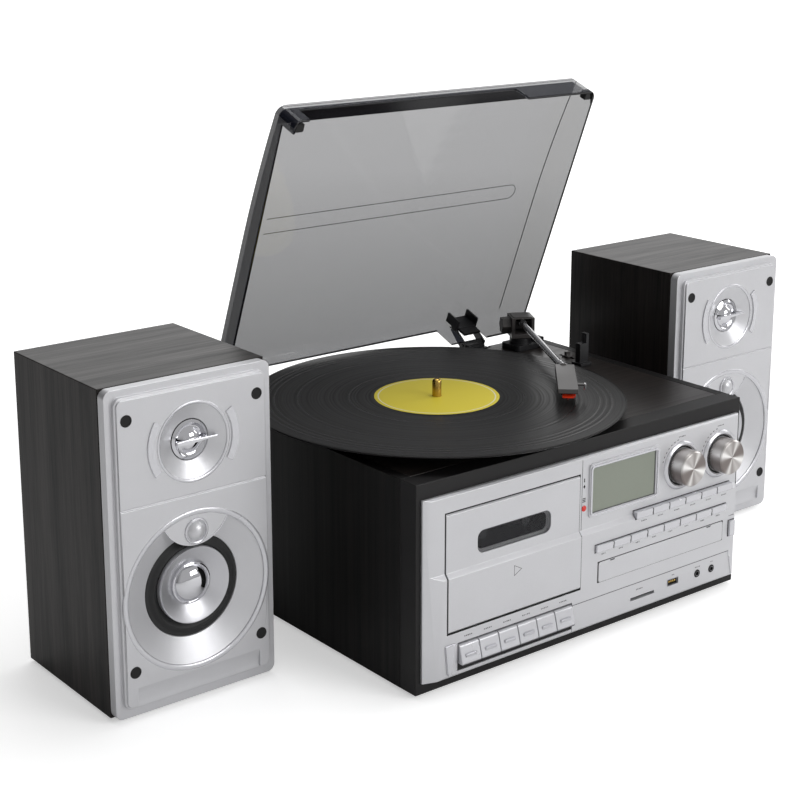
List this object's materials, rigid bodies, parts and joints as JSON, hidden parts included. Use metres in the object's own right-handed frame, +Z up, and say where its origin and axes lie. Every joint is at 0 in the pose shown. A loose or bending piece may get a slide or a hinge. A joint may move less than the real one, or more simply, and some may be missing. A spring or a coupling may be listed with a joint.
{
  "type": "stereo music centre",
  "caption": "Music centre with record player under an open smoked cover, cassette deck, disc tray, display, knobs and buttons, and two separate loudspeakers.",
  "frame": {"origin": "on the table, in the middle of the main unit's four feet", "axes": "+X to the right along both loudspeakers, +Y to the back, +Z up; the front panel faces -Y"},
  "size_m": [0.6982, 0.309, 0.4146],
  "materials": {
    "black_wood": "black open-grain veneer",
    "deck_black": "fine matt texture",
    "black_plastic": "matt moulded",
    "rubber": "matt",
    "silver_panel": "satin silver paint",
    "silver_button": "satin silver paint",
    "display": "grey-green liquid crystal glass",
    "smoked_window": "smoked clear plastic",
    "white_plastic": "matt moulded",
    "drive_steel": "plain sheet",
    "spun_aluminium": "spun face",
    "circuit_board": "solder mask",
    "dark_metal": "dark enamel",
    "vinyl": "grooved black vinyl",
    "pulley_brass": "turned",
    "arm_plastic": "satin",
    "arm_metal": "satin tube",
    "stylus_red": "clear red-orange",
    "smoked_cover": "smoked clear plastic",
    "cone_silver": "silver cone with dark surround"
  },
  "bodies": {
    "main_unit": {"cabinet": "black_wood", "front_frame": "black_wood", "deck": "deck_black", "rear_cover": "black_plastic", "feet": "rubber", "fascia": "silver_panel", "display_panel": "display", "cassette_deck": "black_plastic", "cd_drive": "drive_steel", "front_sockets": "circuit_board", "main_board": "circuit_board", "drive_motor": "drive_steel", "drive_belt": "rubber", "tonearm_base": "arm_plastic", "arm_rest": "black_plastic", "lid_hinges": "black_plastic", "left_case": "black_wood", "right_case": "black_wood", "left_baffle": "silver_panel", "right_baffle": "silver_panel", "woofers": "cone_silver", "tweeters": "cone_silver", "speaker_terminals": "black_plastic"},
    "turntable": {"platter": "dark_metal", "record": "vinyl"},
    "motor_pulley": {"motor_pulley": "pulley_brass"},
    "arm_pivot": {"tonearm_pivot": "arm_plastic"},
    "arm": {"tonearm": "arm_metal", "cartridge": "stylus_red"},
    "speed_lever": {"speed_lever": "arm_plastic"},
    "cover": {"dust_cover": "smoked_cover", "hinge_leaves": "black_plastic"},
    "tuning_knob": {"tuning_knob": "spun_aluminium"},
    "volume_knob": {"volume_knob": "spun_aluminium"},
    "cassette_door": {"cassette_door": "silver_panel", "cassette_window": "smoked_window"},
    "supply_hub": {"supply_hub": "white_plastic"},
    "take_up_hub": {"take_up_hub": "white_plastic"},
    "cd_tray": {"cd_tray": "silver_panel"},
    "key_record": {"key_record": "silver_button"},
    "key_play": {"key_play": "silver_button"},
    "key_rewind": {"key_rewind": "silver_button"},
    "key_forward": {"key_forward": "silver_button"},
    "key_stop": {"key_stop": "silver_button"},
    "key_pause": {"key_pause": "silver_button"},
    "tray_button": {"tray_button": "silver_button"},
    "source_button_1": {"source_button_1": "silver_button"},
    "source_button_2": {"source_button_2": "silver_button"},
    "source_button_3": {"source_button_3": "silver_button"},
    "source_button_4": {"source_button_4": "silver_button"},
    "source_button_5": {"source_button_5": "silver_button"},
    "source_button_6": {"source_button_6": "silver_button"},
    "function_button_1": {"function_button_1": "silver_button"},
    "function_button_2": {"function_button_2": "silver_button"},
    "function_button_3": {"function_button_3": "silver_button"},
    "function_button_4": {"function_button_4": "silver_button"},
    "function_button_5": {"function_button_5": "silver_button"},
    "function_button_6": {"function_button_6": "silver_button"},
    "function_button_7": {"function_button_7": "silver_button"},
    "function_button_8": {"function_button_8": "silver_button"}
  },
  "joints": [
    {"name": "platter_spin", "type": "hinge", "parent": "main_unit", "child": "turntable", "pos_m": [-0.049, 0, 0.164], "axis": [0, 0, 1], "continuous": true},
    {"name": "pulley_spin", "type": "hinge", "parent": "main_unit", "child": "motor_pulley", "pos_m": [-0.10698, 0.05798, 0.162], "axis": [0, 0, 1], "continuous": true},
    {"name": "arm_swing", "type": "hinge", "parent": "main_unit", "child": "arm_pivot", "pos_m": [0.1355, 0.103, 0.17], "axis": [0, 0, 1], "range_deg": [-12, 29.87]},
    {"name": "arm_lift", "type": "hinge", "parent": "arm_pivot", "child": "arm", "pos_m": [0.1355, 0.103, 0.188], "axis": [-0.8715, 0.4905, 0], "range_deg": [-0.68, 9]},
    {"name": "speed_select", "type": "slide", "parent": "main_unit", "child": "speed_lever", "axis": [0, 1, 0], "range_m": [-0.006, 0.006]},
    {"name": "cover_hinge", "type": "hinge", "parent": "main_unit", "child": "cover", "pos_m": [0, 0.131, 0.167], "axis": [-1, 0, 0], "range_deg": [-68.5, 0.5]},
    {"name": "tuning_turn", "type": "hinge", "parent": "main_unit", "child": "tuning_knob", "pos_m": [0.0981, -0.125, 0.1222], "axis": [0, -1, 0], "continuous": true},
    {"name": "volume_turn", "type": "hinge", "parent": "main_unit", "child": "volume_knob", "pos_m": [0.1441, -0.125, 0.1222], "axis": [0, -1, 0], "range_deg": [-150, 150]},
    {"name": "cassette_door_hinge", "type": "hinge", "parent": "main_unit", "child": "cassette_door", "pos_m": [-0.081, -0.1298, 0.0484], "axis": [1, 0, 0], "range_deg": [0, 30]},
    {"name": "supply_hub_spin", "type": "hinge", "parent": "main_unit", "child": "supply_hub", "pos_m": [-0.10225, -0.105, 0.1096], "axis": [0, -1, 0], "continuous": true},
    {"name": "take_up_hub_spin", "type": "hinge", "parent": "main_unit", "child": "take_up_hub", "pos_m": [-0.05975, -0.105, 0.1096], "axis": [0, -1, 0], "continuous": true},
    {"name": "tray_slide", "type": "slide", "parent": "main_unit", "child": "cd_tray", "axis": [0, -1, 0], "range_m": [0, 0.122]},
    {"name": "press_record", "type": "hinge", "parent": "main_unit", "child": "key_record", "pos_m": [-0.1278, -0.098, 0.0342], "axis": [1, 0, 0], "range_deg": [0, 6], "stiffness_Nm_per_rad": 0.35, "springref_deg": -2.86},
    {"name": "press_play", "type": "hinge", "parent": "main_unit", "child": "key_play", "pos_m": [-0.1278, -0.098, 0.0342], "axis": [1, 0, 0], "range_deg": [0, 6], "stiffness_Nm_per_rad": 0.35, "springref_deg": -2.86},
    {"name": "press_rewind", "type": "hinge", "parent": "main_unit", "child": "key_rewind", "pos_m": [-0.1278, -0.098, 0.0342], "axis": [1, 0, 0], "range_deg": [0, 6], "stiffness_Nm_per_rad": 0.35, "springref_deg": -2.86},
    {"name": "press_forward", "type": "hinge", "parent": "main_unit", "child": "key_forward", "pos_m": [-0.1278, -0.098, 0.0342], "axis": [1, 0, 0], "range_deg": [0, 6], "stiffness_Nm_per_rad": 0.35, "springref_deg": -2.86},
    {"name": "press_stop", "type": "hinge", "parent": "main_unit", "child": "key_stop", "pos_m": [-0.1278, -0.098, 0.0342], "axis": [1, 0, 0], "range_deg": [0, 6], "stiffness_Nm_per_rad": 0.35, "springref_deg": -2.86},
    {"name": "press_pause", "type": "hinge", "parent": "main_unit", "child": "key_pause", "pos_m": [-0.1278, -0.098, 0.0342], "axis": [1, 0, 0], "range_deg": [0, 6], "stiffness_Nm_per_rad": 0.35, "springref_deg": -2.86},
    {"name": "press_tray_button", "type": "slide", "parent": "main_unit", "child": "tray_button", "axis": [0, 1, 0], "range_m": [0, 0.0012], "stiffness_N_per_m": 600, "springref_m": -0.0005},
    {"name": "press_source_button_1", "type": "slide", "parent": "main_unit", "child": "source_button_1", "axis": [0, 1, 0], "range_m": [0, 0.0012], "stiffness_N_per_m": 600, "springref_m": -0.0005},
    {"name": "press_source_button_2", "type": "slide", "parent": "main_unit", "child": "source_button_2", "axis": [0, 1, 0], "range_m": [0, 0.0012], "stiffness_N_per_m": 600, "springref_m": -0.0005},
    {"name": "press_source_button_3", "type": "slide", "parent": "main_unit", "child": "source_button_3", "axis": [0, 1, 0], "range_m": [0, 0.0012], "stiffness_N_per_m": 600, "springref_m": -0.0005},
    {"name": "press_source_button_4", "type": "slide", "parent": "main_unit", "child": "source_button_4", "axis": [0, 1, 0], "range_m": [0, 0.0012], "stiffness_N_per_m": 600, "springref_m": -0.0005},
    {"name": "press_source_button_5", "type": "slide", "parent": "main_unit", "child": "source_button_5", "axis": [0, 1, 0], "range_m": [0, 0.0012], "stiffness_N_per_m": 600, "springref_m": -0.0005},
    {"name": "press_source_button_6", "type": "slide", "parent": "main_unit", "child": "source_button_6", "axis": [0, 1, 0], "range_m": [0, 0.0012], "stiffness_N_per_m": 600, "springref_m": -0.0005},
    {"name": "press_function_button_1", "type": "slide", "parent": "main_unit", "child": "function_button_1", "axis": [0, 1, 0], "range_m": [0, 0.0012], "stiffness_N_per_m": 600, "springref_m": -0.0005},
    {"name": "press_function_button_2", "type": "slide", "parent": "main_unit", "child": "function_button_2", "axis": [0, 1, 0], "range_m": [0, 0.0012], "stiffness_N_per_m": 600, "springref_m": -0.0005},
    {"name": "press_function_button_3", "type": "slide", "parent": "main_unit", "child": "function_button_3", "axis": [0, 1, 0], "range_m": [0, 0.0012], "stiffness_N_per_m": 600, "springref_m": -0.0005},
    {"name": "press_function_button_4", "type": "slide", "parent": "main_unit", "child": "function_button_4", "axis": [0, 1, 0], "range_m": [0, 0.0012], "stiffness_N_per_m": 600, "springref_m": -0.0005},
    {"name": "press_function_button_5", "type": "slide", "parent": "main_unit", "child": "function_button_5", "axis": [0, 1, 0], "range_m": [0, 0.0012], "stiffness_N_per_m": 600, "springref_m": -0.0005},
    {"name": "press_function_button_6", "type": "slide", "parent": "main_unit", "child": "function_button_6", "axis": [0, 1, 0], "range_m": [0, 0.0012], "stiffness_N_per_m": 600, "springref_m": -0.0005},
    {"name": "press_function_button_7", "type": "slide", "parent": "main_unit", "child": "function_button_7", "axis": [0, 1, 0], "range_m": [0, 0.0012], "stiffness_N_per_m": 600, "springref_m": -0.0005},
    {"name": "press_function_button_8", "type": "slide", "parent": "main_unit", "child": "function_button_8", "axis": [0, 1, 0], "range_m": [0, 0.0012], "stiffness_N_per_m": 600, "springref_m": -0.0005}
  ],
  "couplings": [
    {"joint": "pulley_spin", "follows": "platter_spin", "ratio": 8.125}
  ]
}
